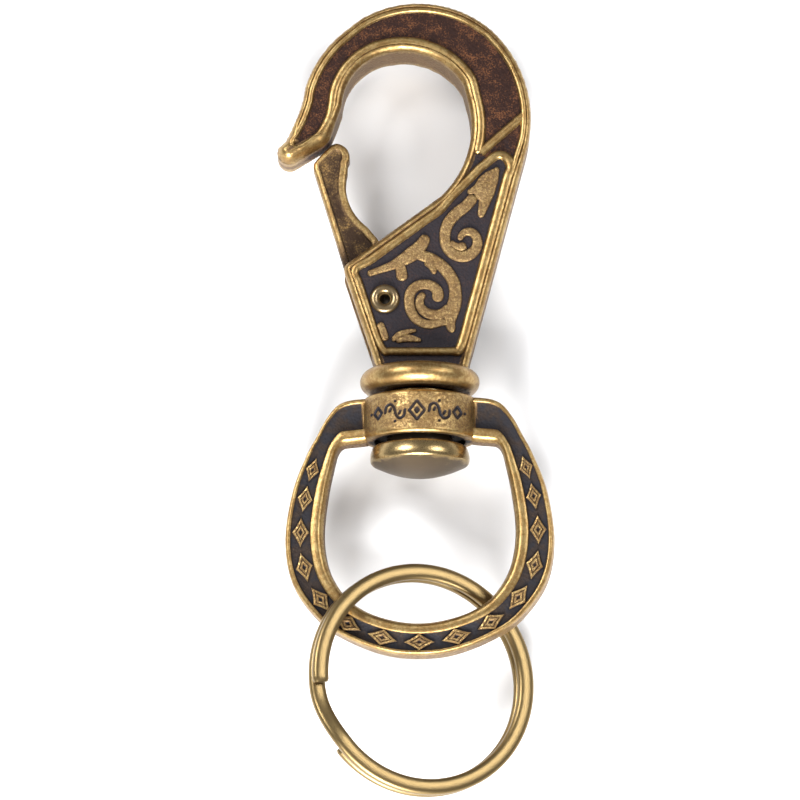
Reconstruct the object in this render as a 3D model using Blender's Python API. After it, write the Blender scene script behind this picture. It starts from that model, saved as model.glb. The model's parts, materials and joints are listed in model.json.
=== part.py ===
"""Carabiner keyring: a cast snap hook with a sprung gate, a stirrup loop that swivels
on a headed post, and a split ring threaded through the loop.

The object lies on its back: +X to the right, +Y along it towards the hook, +Z out of
its front face. Design coordinates are millimetres from the point where the swivel axis
meets the underside of the hook's collar; the top empty puts the whole object on the
ground, centred in X and Y.
"""
import bmesh
import bpy
import numpy as np
from math import cos, pi, radians, sin, tau
from mathutils import Matrix, Vector

MM = 0.001

# ---- driving dimensions, in millimetres unless the name says otherwise ----
BODY_THICK = 7.4          # cast hook, front face to back face
EDGE_ROUND = 1.0          # rounding of the hook's rims
PANEL_DEPTH = 0.55        # sunk panels on both faces
FLANK = (-2.15, 36.49, 16.71)       # x, y, radius of each arc of the hook's outline
CROWN = (-0.15, 37.78, 14.4)
SHOULDER = (0.02, 36.23, 15.62)
FLARE = (-32.51, 43.27, 17.79)
NOSE = (-17.05, 32.1, 1.6)
NOSE_TIP = (-13.5, 34.8, 2.0)
THROAT_LEFT = (-2.5, 37.98, 7.68)
THROAT_TOP = (-2.19, 36.5, 9.16)
THROAT_SIDE = (-6.6, 35.4, 13.35)
CORNER = (-8.62, 15.91, 1.2)
NECK_LEFT = (-5.35, 2.2)
NECK_RIGHT = (5.95, 2.2)
OUTER_INSET = 1.35        # from the silhouette to the edge of a sunk panel
INNER_INSET = 2.2

COLLAR_RADIUS = 7.75
COLLAR_TUBE = 1.45
COLLAR_BOTTOM = 0.15

PIN_AT = (-4.53, 12.0)    # gate pin, which is the gate's hinge axis
PIN_RADIUS = 1.2
PIN_BORE = 0.6
PIN_HEAD_RADIUS = 1.85
PIN_HEAD_THICK = 0.6
RUNNING_FIT = 0.1
GATE_THICK = 3.0
GATE_HEEL = 3.5           # radius of the gate's heel round the pin
SLOT_WIDTH = 3.6          # slot through the hook that the gate swings in
FORK_WIDTH = 1.8          # groove in the heel for the spring
FORK_REACH = 5.2

SPRING_WIRE = 0.2         # wire radius
SPRING_RADIUS = 1.7
SPRING_TURNS = 2.5
SPRING_PITCH = 0.45

POST_RADIUS = 2.55
POST_TOP = 4.5
SHOULDER_RADIUS = 4.3
BUTTON_RADIUS = 6.45
BUTTON_TOP = -7.0
BUTTON_EDGE = -9.4        # lower end of the button's side
BUTTON_DOME = 1.5
WASHER_RADIUS = 4.75
WASHER_SPAN = (-0.5, 0.0)

BARREL_HALF = (7.4, 6.6)  # half width along X and along Z
BARREL_SPAN = (-6.3, -0.65)
BARREL_ROUND = 0.55
COUNTERBORE = (5.9, 0.65)           # radius, depth
LOOP_THICK = 4.2
LOOP_LEAN_DEG = -3.5      # how far the loop lies turned about the swivel axis
LOOP_OUTER = ((0, -0.85), (7.0, -0.75), (10.2, -1.35), (12.0, -3.3), (14.6, -8.2),
              (16.4, -13.0), (17.3, -19.5), (15.2, -27.0), (9.3, -32.1), (4.5, -33.95),
              (0, -34.45))
LOOP_INNER = ((0, -5.6), (7.2, -6.6), (10.0, -6.95), (10.9, -8.6), (11.7, -12.5),
              (12.3, -18.5), (11.4, -23.6), (8.4, -27.4), (4.2, -29.5),
              (0, -30.15))

RING_OUTER = 15.0
RING_WIRE = (2.1, 1.36)   # wire across the ring's plane, and along its axis
RING_LAYER_GAP = 0.08
RING_CENTRE = (0.22, -37.4, 0.4)
RING_NORMAL = (0.34, 0.05, 0.93)
RING_START_DEG = 220.0    # free end of the back turn
RING_CLIMB_DEG = (548.0, 580.0)     # where the wire climbs from the back turn to the front
RING_END_DEG = 905.0      # free end of the front turn
RING_PIVOT = (0.6, -37.4, 0.0)      # a point on the axis that the ring swings about


# ---- outlines ----
def arc(circle, start, end, grow=0.0, step=9.0):
    """Points on a circle (x, y, radius) from one angle to another in degrees."""
    x, y, radius = circle
    count = max(3, int(abs(end - start) / step) + 2)
    turns = np.radians(np.linspace(start, end, count))
    return [(x + (radius + grow) * cos(a), y + (radius + grow) * sin(a)) for a in turns]


def smooth(points, count):
    """A closed curve through the points: a cubic between each pair, evenly resampled."""
    points = np.array(points, float)
    dense = []
    for k in range(len(points)):
        before, start, end, after = (points[(k + n) % len(points)] for n in (-1, 0, 1, 2))
        leave = (end - before) / 2
        arrive = (after - start) / 2
        for t in np.linspace(0, 1, 24, endpoint=False):
            dense.append((2 * t**3 - 3 * t**2 + 1) * start + (t**3 - 2 * t**2 + t) * leave
                         + (3 * t**2 - 2 * t**3) * end + (t**3 - t**2) * arrive)
    dense = np.array([*dense, dense[0]])
    along = np.r_[0, np.cumsum(np.hypot(*np.diff(dense, axis=0).T))]
    places = np.linspace(0, along[-1], count, endpoint=False)
    return np.c_[np.interp(places, along, dense[:, 0]), np.interp(places, along, dense[:, 1])]


def mirrored(half):
    """A closed outline from the points of its right half, whose ends lie on X = 0."""
    return [*half, *((-x, y) for x, y in half[-2:0:-1])]


def hook_outline():
    """Counter-clockwise silhouette of the hook and the shield below it."""
    return [
        NECK_RIGHT,
        *arc(FLANK, -15, 45),
        *arc(CROWN, 51, 122),
        *arc(SHOULDER, 128, 164),
        *arc(FLARE, -14, -33),
        *arc(NOSE, 155, 305, step=16),
        *arc(NOSE_TIP, -53, -12, step=12),
        *arc(THROAT_LEFT, 178, 118),
        *arc(THROAT_TOP, 108, 30),
        *arc(THROAT_SIDE, 17, -46),
        *arc(CORNER, 127, 198, step=16),
        NECK_LEFT,
    ]


def hook_panel():
    """Sunk panel that follows the hook from its nose to the shield."""
    return [
        *arc(FLANK, 6, 45, -OUTER_INSET),
        *arc(CROWN, 51, 122, -OUTER_INSET),
        *arc(SHOULDER, 128, 164, -OUTER_INSET),
        *arc(FLARE, -14, -30, OUTER_INSET),
        (-15.6, 32.9),
        (-13.7, 34.6),
        (-13.0, 36.0),
        *arc(THROAT_LEFT, 178, 118, INNER_INSET),
        *arc(THROAT_TOP, 108, 30, INNER_INSET),
        *arc(THROAT_SIDE, 17, -5, INNER_INSET),
    ]


def shield_panel():
    """Sunk panel inside the shield's border."""
    return [
        (-4.7, 5.4),
        (5.1, 5.4),
        (8.3, 18.0),
        *arc((9.6, 29.4, 1.0), -15, 127, step=24),
        (-7.1, 16.3),
        (-7.6, 14.8),
    ]


def gate_outline():
    """The gate, from its heel round the pin up to the head that meets the nose."""
    return [
        *arc((*PIN_AT, GATE_HEEL), 195, 372, step=15),
        (-5.5, 20.6),
        *arc((-2.55, 27.9, 7.1), 233, 166),
        *arc((-11.0, 31.7, 1.85), -30, 90, step=18),
        (-11.6, 33.3),
        (-14.05, 30.7),
        (-9.6, 16.0),
    ]


def slot_outline():
    """Slot that lets the gate swing in; it runs out through the hook's left side."""
    return [
        (-13, 5.0),
        (-5.2, 5.0),
        *arc((*PIN_AT, GATE_HEEL + 0.9), 310, 360, step=12),
        (-0.1, 27.0),
        (-13, 27.0),
    ]


# ---- mesh makers ----
def material(name, colour, roughness, metallic=1.0):
    """A Principled BSDF material with one colour."""
    made = bpy.data.materials.new(name)
    made.use_nodes = True
    shader = made.node_tree.nodes["Principled BSDF"]
    shader.inputs["Base Color"].default_value = (*colour, 1.0)
    shader.inputs["Roughness"].default_value = roughness
    shader.inputs["Metallic"].default_value = metallic
    made.diffuse_color = (*colour, 1.0)
    return made


def add_object(name, build, finish=None, parent=None):
    """Make a mesh object from a bmesh in millimetres and place it under its parent."""
    bmesh.ops.recalc_face_normals(build, faces=build.faces)
    bmesh.ops.scale(build, vec=(MM, MM, MM), verts=build.verts)
    mesh = bpy.data.meshes.new(name)
    build.to_mesh(mesh)
    build.free()
    mesh.shade_smooth()
    mesh.set_sharp_from_angle(angle=radians(32))
    if finish:
        mesh.materials.append(finish)
    made = bpy.data.objects.new(name, mesh)
    bpy.context.scene.collection.objects.link(made)
    made.parent = parent
    return made


def prism(outline, low, high):
    """A closed outline given a thickness along Z."""
    build = bmesh.new()
    face = build.faces.new([build.verts.new((x, y, low)) for x, y in outline])
    raised = bmesh.ops.extrude_face_region(build, geom=[face])
    corners = [item for item in raised["geom"] if isinstance(item, bmesh.types.BMVert)]
    bmesh.ops.translate(build, vec=(0, 0, high - low), verts=corners)
    return build


def turned(profile, axis, sides=48):
    """A profile of (radius, height) points turned about the Y or the Z axis."""
    build = bmesh.new()
    rows = []
    for side in range(sides):
        a = tau * side / sides
        if axis == "Y":
            rows.append([build.verts.new((r * sin(a), h, r * cos(a))) for r, h in profile])
        else:
            rows.append([build.verts.new((r * cos(a), r * sin(a), h)) for r, h in profile])
    skin(build, rows, ring=True)
    bmesh.ops.remove_doubles(build, verts=build.verts, dist=1e-6)
    return build


def skin(build, rows, ring):
    """Quads between neighbouring rows of vertices; each row is a closed section."""
    pairs = list(zip(rows, rows[1:]))
    if ring:
        pairs.append((rows[-1], rows[0]))
    for here, there in pairs:
        for k in range(len(here)):
            n = (k + 1) % len(here)
            build.faces.new((here[k], here[n], there[n], there[k]))
    if not ring:
        build.faces.new(rows[0])
        build.faces.new(rows[-1])


def swept(path, section, across, up):
    """A section of (across, up) points carried along an open path."""
    build = bmesh.new()
    rows = []
    for place, side, rise in zip(path, across, up):
        rows.append([build.verts.new(Vector(place) + a * Vector(side) + b * Vector(rise))
                     for a, b in section])
    skin(build, rows, ring=False)
    return build


def empty(name, place, parent=None, turn=None):
    """A parent empty, at a place in millimetres."""
    made = bpy.data.objects.new(name, None)
    bpy.context.scene.collection.objects.link(made)
    made.parent = parent
    made.empty_display_size = 0.004
    made.location = Vector(place) * MM
    if turn:
        made.rotation_euler = turn
    return made


def hidden(tool):
    """Turn an object into a cutter or a form that only booleans use."""
    tool.hide_render = True
    tool.display_type = "WIRE"
    return tool


def combine(target, tool, operation):
    """Cut a tool out of an object, or join it on."""
    step = target.modifiers.new(f"{operation.lower()}_{tool.name}", "BOOLEAN")
    step.operation = operation
    step.solver = "EXACT"
    step.object = hidden(tool)


def rounded_rims(target, width, segments):
    """Round the rims of a prism, leaving the facets of its curved sides alone."""
    step = target.modifiers.new("rounded_rims", "BEVEL")
    step.width = width * MM
    step.segments = segments
    step.limit_method = "ANGLE"
    step.angle_limit = radians(55)


def rod(radius, low, high, axis, sides=48):
    """A plain round bar on an axis, used as a drill."""
    return turned([(0, low), (radius, low), (radius, high), (0, high)], axis, sides)


# ---- the hook ----
def make_hook(root, brass):
    """Cast hook, shield, neck and collar in one piece, slotted for the gate."""
    half = BODY_THICK / 2
    hook = add_object("hook_body", prism(hook_outline(), -half, half), brass, root)
    rounded_rims(hook, EDGE_ROUND, 3)

    middle = COLLAR_BOTTOM + COLLAR_TUBE
    bulge = arc((COLLAR_RADIUS - COLLAR_TUBE, middle, COLLAR_TUBE), -90, 90, step=20)
    collar = [(0, COLLAR_BOTTOM), *bulge, (0, middle + COLLAR_TUBE)]
    combine(hook, add_object("form_collar", turned(collar, "Y", 64), None, root), "UNION")

    for name, outline in (("hook", hook_panel()), ("shield", shield_panel())):
        for face, side in (("front", 1), ("back", -1)):
            floor, clear = side * (half - PANEL_DEPTH), side * (half + 1)
            tool = prism(outline, min(floor, clear), max(floor, clear))
            cutter = add_object(f"cut_{name}_panel_{face}", tool, None, root)
            combine(hook, cutter, "DIFFERENCE")

    slot = prism(slot_outline(), -SLOT_WIDTH / 2, SLOT_WIDTH / 2)
    combine(hook, add_object("cut_gate_slot", slot, None, root), "DIFFERENCE")
    pin_hole = add_object("cut_pin_hole", rod(PIN_RADIUS + RUNNING_FIT, -6, 6, "Z", 32), None, root)
    pin_hole.location = Vector((*PIN_AT, 0)) * MM
    combine(hook, pin_hole, "DIFFERENCE")
    post_hole = rod(POST_RADIUS + RUNNING_FIT, -3, POST_TOP + 0.2, "Y")
    combine(hook, add_object("cut_post_hole", post_hole, None, root), "DIFFERENCE")


def make_gate(pivot, brass):
    """Swinging gate: its origin is on the pin, and its heel is forked for the spring."""
    outline = [(x - PIN_AT[0], y - PIN_AT[1]) for x, y in gate_outline()]
    gate = add_object("gate", prism(outline, -GATE_THICK / 2, GATE_THICK / 2), brass, pivot)
    rounded_rims(gate, 0.35, 2)
    hole = rod(PIN_RADIUS + RUNNING_FIT, -4, 4, "Z", 32)
    combine(gate, add_object("cut_gate_hole", hole, None, pivot), "DIFFERENCE")
    fork = rod(FORK_REACH, -FORK_WIDTH / 2, FORK_WIDTH / 2, "Z", 40)
    combine(gate, add_object("cut_gate_fork", fork, None, pivot), "DIFFERENCE")


def make_pin(root, steel):
    """Tubular rivet through the hook and the gate, rolled over at both faces."""
    floor = BODY_THICK / 2 - PANEL_DEPTH + 0.03
    top = floor + PIN_HEAD_THICK
    half = [(PIN_RADIUS, floor), (PIN_HEAD_RADIUS, floor), (PIN_HEAD_RADIUS, floor + 0.3),
            (PIN_HEAD_RADIUS - 0.3, top), (PIN_BORE + 0.25, top), (PIN_BORE, top - 0.2)]
    profile = half + [(r, -h) for r, h in reversed(half)]
    pin = add_object("gate_pin", turned(profile, "Z", 40), steel, root)
    pin.location = Vector((*PIN_AT, 0)) * MM


def make_spring(root, steel):
    """Torsion spring: one leg along the gate, one against the slot's right wall."""
    start, leg = radians(170), 4.6
    end = start + SPRING_TURNS * tau
    height = SPRING_TURNS * SPRING_PITCH
    turns = np.linspace(start, end, int(SPRING_TURNS * 18) + 1)
    coil = [Vector((SPRING_RADIUS * cos(a), SPRING_RADIUS * sin(a),
                    height * ((a - start) / (end - start) - 0.5))) for a in turns]
    towards = Vector((sin(start), -cos(start), 0))
    away = Vector((-sin(end), cos(end), 0))
    path = [coil[0] + leg * towards, coil[0] + 0.3 * towards, *coil,
            coil[-1] + 0.3 * away, coil[-1] + leg * away]
    section = [(SPRING_WIRE * cos(a), SPRING_WIRE * sin(a)) for a in np.arange(8) * pi / 4]
    ahead = [(b - a).normalized() for a, b in zip(path, path[1:])]
    ahead.append(ahead[-1])
    rise = [Vector((0, 0, 1))] * len(path)
    across = [direction.cross(rise[0]).normalized() for direction in ahead]
    spring = add_object("gate_spring", swept(path, section, across, rise), steel, root)
    spring.location = Vector((*PIN_AT, 0)) * MM


# ---- the swivel ----
def make_post(root, brass):
    """Headed post pressed into the hook's neck; the loop turns between collar and head."""
    dome = [(BUTTON_RADIUS * r, BUTTON_EDGE - BUTTON_DOME * (1 - r * r)) for r in (0.75, 0.5, 0.25, 0)]
    profile = [(0, POST_TOP), (POST_RADIUS - 0.4, POST_TOP), (POST_RADIUS, POST_TOP - 0.4),
               (POST_RADIUS, BARREL_SPAN[0] + COUNTERBORE[1] - 0.15),
               (SHOULDER_RADIUS, BARREL_SPAN[0] + COUNTERBORE[1] - 0.15),
               (SHOULDER_RADIUS, BUTTON_TOP),
               (BUTTON_RADIUS - 0.4, BUTTON_TOP), (BUTTON_RADIUS, BUTTON_TOP - 0.4),
               (BUTTON_RADIUS, BUTTON_EDGE + 0.5), (BUTTON_RADIUS - 0.18, BUTTON_EDGE + 0.12),
               (BUTTON_RADIUS - 0.6, BUTTON_EDGE - 0.12), *dome]
    add_object("swivel_post", turned(profile, "Y", 64), brass, root)


def make_washer(root, brass):
    """Thin ring between the collar and the barrel."""
    low, high = WASHER_SPAN
    inner = POST_RADIUS + 0.2
    profile = [(inner, low), (WASHER_RADIUS - 0.12, low), (WASHER_RADIUS, low + 0.12),
               (WASHER_RADIUS, high - 0.12), (WASHER_RADIUS - 0.12, high), (inner, high)]
    add_object("swivel_washer", turned(profile, "Y", 56), brass, root)


# ---- the loop ----
def loop_section(outer, inner):
    """One cross-section of the stirrup: rounded sides and a channel on each face."""
    half = LOOP_THICK / 2
    width = (inner - outer).length
    inward = (inner - outer) / width
    rim, floor, step = 0.7, half - 0.45, 0.2
    corner = ((0.0, half - 1.3), (0.22, half - 0.55), (0.75, half))
    top = [*corner, (0.75 + rim, half), (0.75 + rim + step, floor)]
    front = [(u, z) for u, z in top] + [(width - u, z) for u, z in reversed(top)]
    section = front + [(u, -z) for u, z in reversed(front)]
    return [(*(outer + inward * u), z) for u, z in section]


def make_loop(swivel, brass):
    """Stirrup loop cast with the barrel that turns on the post."""
    outer = smooth(mirrored(LOOP_OUTER), 84)
    inner = smooth(mirrored(LOOP_INNER), 84)
    build = bmesh.new()
    rows = [[build.verts.new(point) for point in loop_section(Vector(a), Vector(b))]
            for a, b in zip(outer, inner)]
    skin(build, rows, ring=True)
    loop = add_object("loop", build, brass, swivel)

    low, high = BARREL_SPAN
    edge = BARREL_ROUND
    across = BARREL_HALF[0]
    lower = arc((across - edge, low + edge, edge), -90, 0, step=30)
    upper = arc((across - edge, high - edge, edge), 0, 90, step=30)
    barrel = turned([(0, low), *lower, *upper, (0, high)], "Y", 64)
    bmesh.ops.scale(barrel, vec=(1, 1, BARREL_HALF[1] / across), verts=barrel.verts)
    combine(loop, add_object("form_barrel", barrel, None, swivel), "UNION")

    radius, depth = COUNTERBORE
    bore = rod(POST_RADIUS + 0.2, -12, 6, "Y")
    sink = rod(radius, -12, low + depth, "Y")
    head_room = rod(BUTTON_RADIUS + 0.45, -12, low, "Y", 64)
    for name, tool in (("bore", bore), ("counterbore", sink), ("head_room", head_room)):
        combine(loop, add_object(f"cut_loop_{name}", tool, None, swivel), "DIFFERENCE")


# ---- the split ring ----
def ring_height(turn):
    """Height of the wire's middle at a turn in degrees: back turn, climb, front turn."""
    layer = (RING_WIRE[1] + RING_LAYER_GAP) / 2
    start, end = RING_CLIMB_DEG
    t = min(max((turn - start) / (end - start), 0), 1)
    return layer * (2 * t * t * (3 - 2 * t) - 1)


def make_ring(pivot, steel):
    """One flat wire coiled into two turns, with its climb and both free ends."""
    width, thick = RING_WIRE
    middle = RING_OUTER - width / 2
    plain = np.arange(RING_START_DEG, RING_CLIMB_DEG[0], 5.0)
    climb = np.linspace(*RING_CLIMB_DEG, 13)
    rest = np.arange(RING_CLIMB_DEG[1] + 5, RING_END_DEG + 0.1, 5.0)
    turns = np.concatenate([plain, climb, rest])
    out = [Vector((cos(radians(a)), sin(radians(a)), 0)) for a in turns]
    path = [middle * direction + Vector((0, 0, ring_height(a)))
            for direction, a in zip(out, turns)]
    a, b = width / 2, thick / 2
    section = [(-a, -b * 0.55), (-a * 0.72, -b), (a * 0.55, -b), (a * 0.9, -b * 0.62), (a, 0),
               (a * 0.9, b * 0.62), (a * 0.55, b), (-a * 0.72, b), (-a, b * 0.55)]
    build = swept(path, section, out, [Vector((0, 0, 1))] * len(path))
    ring = add_object("split_ring", build, steel, pivot)
    ring.location = (Vector(RING_CENTRE) - Vector(RING_PIVOT)) * MM
    normal = Vector(RING_NORMAL).normalized()
    side = Vector((0, 1, 0)).cross(normal).normalized()
    turn = Matrix((side, normal.cross(side), normal)).transposed()
    ring.rotation_euler = turn.to_euler()


def world_bounds():
    """Lowest and highest corner of every visible solid, in metres."""
    bpy.context.view_layer.update()
    graph = bpy.context.evaluated_depsgraph_get()
    corners = []
    for item in bpy.context.scene.objects:
        if item.type == "MESH" and not item.hide_render:
            solid = item.evaluated_get(graph)
            corners += [item.matrix_world @ vertex.co for vertex in solid.data.vertices]
    corners = np.array(corners)
    return corners.min(0), corners.max(0)


def main():
    for item in list(bpy.data.objects):
        bpy.data.objects.remove(item)
    cast = material("antique_brass", (0.36, 0.25, 0.12), 0.42)
    plain = material("plated_brass", (0.45, 0.34, 0.18), 0.36)
    wire = material("spring_steel", (0.32, 0.30, 0.27), 0.35)

    root = empty("keyring", (0, 0, 0))
    make_hook(root, cast)
    make_pin(root, plain)
    make_spring(root, wire)
    make_post(root, plain)
    make_washer(root, plain)
    gate_pivot = empty("gate_pivot", (*PIN_AT, 0), root)
    make_gate(gate_pivot, cast)
    swivel = empty("swivel_axis", (0, 0, 0), root, (0, radians(LOOP_LEAN_DEG), 0))
    make_loop(swivel, cast)
    ring_pivot = empty("ring_pivot", RING_PIVOT, root)
    make_ring(ring_pivot, plain)

    low, high = world_bounds()
    root.location = (-(low[0] + high[0]) / 2, -(low[1] + high[1]) / 2, -low[2])
    bpy.context.view_layer.update()
    print("size mm", np.round((high - low) / MM, 2))
    for pivot in (root, gate_pivot, swivel, ring_pivot):
        print(pivot.name, [round(float(v), 6) for v in pivot.matrix_world.translation])


main()
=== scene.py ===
# %% [markdown]
# # A carabiner keyring in antique brass
# The object has eight pieces: a cast snap hook, its gate, the gate's rivet and spring, a
# headed post with a washer, a stirrup loop and a split ring. The CAD model gives each
# one's size, place and motion. This lesson gives each one its finished surface.

import bmesh
import bpy
import json
import numpy as np
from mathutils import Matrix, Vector


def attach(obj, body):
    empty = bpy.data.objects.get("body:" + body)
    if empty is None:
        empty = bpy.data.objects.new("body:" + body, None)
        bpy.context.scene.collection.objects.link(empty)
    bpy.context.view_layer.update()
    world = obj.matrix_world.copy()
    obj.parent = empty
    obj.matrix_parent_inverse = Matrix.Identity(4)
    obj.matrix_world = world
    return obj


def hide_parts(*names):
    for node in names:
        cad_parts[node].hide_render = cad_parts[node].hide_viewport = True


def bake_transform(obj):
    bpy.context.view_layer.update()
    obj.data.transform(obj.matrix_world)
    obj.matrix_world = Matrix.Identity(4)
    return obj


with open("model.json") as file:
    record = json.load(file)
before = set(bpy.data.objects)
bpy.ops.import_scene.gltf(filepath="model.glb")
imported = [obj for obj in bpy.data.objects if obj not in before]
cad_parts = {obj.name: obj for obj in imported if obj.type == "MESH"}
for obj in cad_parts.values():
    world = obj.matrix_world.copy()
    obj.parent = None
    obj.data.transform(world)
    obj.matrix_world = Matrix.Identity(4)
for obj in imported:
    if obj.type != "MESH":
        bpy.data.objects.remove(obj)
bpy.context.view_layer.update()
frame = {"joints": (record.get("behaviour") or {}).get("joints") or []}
MM = 0.001
joints = {joint["name"]: joint for joint in frame["joints"]}
ZERO = np.array(joints["loop_swivel"]["pos_m"])
PIN = (np.array(joints["gate_hinge"]["pos_m"]) - ZERO)[:2] / MM
print("gate pin at", PIN.round(2), "mm from the swivel's zero point")

# %% [markdown]
# ## Camera, floor and light
# The keyring lies on its back on a pale table and the camera looks almost straight down,
# from a little below the ring's end. Two broad lamps and one low one give the long soft
# highlights that polished rims need, and the even grey surroundings keep the recesses dark.

# %% Camera, floor and lamps
CAMERA_AT = (-2.57, -124.4, 535.9)
CAMERA_AIM = (-2.57, -0.68, 0.0)
LENS = 191.07
NEAREST_SEEN = 0.05
SURROUNDINGS, SURROUNDINGS_TINT = 0.32, (0.93, 0.95, 1.0, 1)


def place(points):
    """Millimetres from the swivel's zero point, as metres in the frame."""
    return np.asarray(points, float) * MM + ZERO


def aimed(thing, at, aim):
    """Put a lamp or a camera at a point, looking at another, with +Y up."""
    thing.location = place(at)
    thing.rotation_euler = Vector(place(aim) - place(at)).to_track_quat("-Z", "Y").to_euler()
    bpy.context.scene.collection.objects.link(thing)
    return thing


camera = aimed(bpy.data.objects.new("camera", bpy.data.cameras.new("camera")),
               CAMERA_AT, CAMERA_AIM)
camera.data.lens = LENS
camera.data.clip_start = NEAREST_SEEN
bpy.context.scene.camera = camera

for name, at, size, power in (
        ("lamp_left", (-300, 190, 420), 200, 2.7),
        ("lamp_right", (330, 120, 400), 170, 1.3),
        ("lamp_low", (-30, -440, 240), 240, 8.4)):
    lamp = bpy.data.lights.new(name, "AREA")
    lamp.size = size * MM
    lamp.energy = power
    aimed(bpy.data.objects.new(name, lamp), at, (0, 0, 0))

world = bpy.context.scene.world or bpy.data.worlds.new("world")
bpy.context.scene.world = world
world.use_nodes = True
background = world.node_tree.nodes["Background"].inputs
background["Color"].default_value = SURROUNDINGS_TINT
background["Strength"].default_value = SURROUNDINGS
bpy.context.scene.view_settings.view_transform = "Standard"
print("camera", np.round(camera.location, 3), "lens", LENS)

# %% [markdown]
# ## Writing a finish as sums
# A shader is a calculation, so it reads best as one. A small class wraps a socket and
# turns +, - and * into Math nodes. Every other node comes from one method.


# %% Sockets with arithmetic
def math(kind, swapped=False):
    """A method that puts a socket and another value through a Math node."""
    def method(self, other):
        pair = (other, self) if swapped else (self, other)
        return self.finish.node("ShaderNodeMath", {"operation": kind}, dict(enumerate(pair)))
    return method


class Socket:
    """A node's output that can be added, subtracted and multiplied."""

    def __init__(self, finish, link):
        self.finish, self.link = finish, link

    __add__ = __radd__ = math("ADD")
    __mul__ = __rmul__ = math("MULTIPLY")
    __sub__, __rsub__ = math("SUBTRACT"), math("SUBTRACT", swapped=True)


class Finish:
    """A material under construction, with the node calls that the finishes need."""

    def __init__(self, name):
        self.material = bpy.data.materials.new(name)
        self.material.use_nodes = True
        self.nodes = self.material.node_tree.nodes
        self.links = self.material.node_tree.links
        self.shader = self.nodes["Principled BSDF"]
        object_place = self.node("ShaderNodeTexCoord", output="Object")
        self.place = self.node("ShaderNodeVectorMath", {"operation": "SCALE"},
                               {0: object_place, "Scale": 1 / MM})

    def node(self, kind, settings=None, inputs=None, output=0):
        """A node of a kind: its settings, its sockets' values or links, and one output."""
        made = self.nodes.new(kind)
        for key, value in (settings or {}).items():
            setattr(made, key, value)
        for key, value in (inputs or {}).items():
            self.put(made.inputs[key], value)
        return Socket(self, made.outputs[output])

    def put(self, socket, value):
        if isinstance(value, Socket):
            self.links.new(value.link, socket)
        elif isinstance(value, tuple) and len(value) == 3 and socket.type == "RGBA":
            socket.default_value = (*value, 1.0)
        else:
            socket.default_value = value

    def noise(self, scale, detail=3.0, roughness=0.6):
        """Fractal noise on the piece, with its scale in waves per millimetre."""
        return self.node("ShaderNodeTexNoise", inputs={
            "Vector": self.place, "Scale": scale, "Detail": detail, "Roughness": roughness})

    def cells(self, scale):
        """Distance to the nearest of scattered points, a few per millimetre."""
        return self.node("ShaderNodeTexVoronoi", inputs={"Vector": self.place, "Scale": scale})

    def ramp(self, value, low, high):
        """0 below low and 1 above high, with an eased slope between them."""
        return self.node("ShaderNodeMapRange", {"interpolation_type": "SMOOTHSTEP"},
                         {"Value": value, "From Min": low, "From Max": high})

    def blend(self, share, first, second):
        """One colour turning into another."""
        return self.node("ShaderNodeMix", {"data_type": "RGBA"},
                         {"Factor": share, 6: first, 7: second}, output=2)

    def tint(self, colour, value, low, high):
        """A colour made darker and lighter by a value."""
        shade = self.node("ShaderNodeMapRange", inputs={
            "Value": value, "To Min": low, "To Max": high})
        return self.node("ShaderNodeVectorMath", {"operation": "SCALE"},
                         {0: colour, "Scale": shade})

    def attribute(self, name):
        """A number stored on the piece's points."""
        return self.node("ShaderNodeAttribute", {"attribute_name": name}, output="Fac")

    def along(self, axis):
        """The place on one axis, in millimetres from the frame's zero."""
        return self.node("ShaderNodeSeparateXYZ", inputs={0: self.place}, output=axis)

    def bump(self, height, depth):
        """Dents whose depth is in millimetres."""
        dents = self.node("ShaderNodeBump", inputs={
            "Height": height, "Distance": depth * MM, "Strength": 1.0})
        self.put(self.shader.inputs["Normal"], dents)

    def set(self, **values):
        for key, value in values.items():
            self.put(self.shader.inputs[key.replace("_", " ")], value)


# %% [markdown]
# ## Antique brass
# The casting is plated with brass, dipped until it turns nearly black, and then tumbled.
# Tumbling rubs the dark layer off whatever stands proud, so brass shows on the rims and
# the dark stays in the recesses. Each mesh carries a "wear" number on its points that says
# how proud they are, and in a few places it also carries painted shade and a painted
# highlight. Noise moves the boundary about, so that it is speckled as rubbing leaves it.

# %% Antique brass for the castings
BRASS = (0.39, 0.27, 0.112)
WARM_BRASS = (0.27, 0.165, 0.062)
BRONZE = (0.15, 0.092, 0.045)


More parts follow.
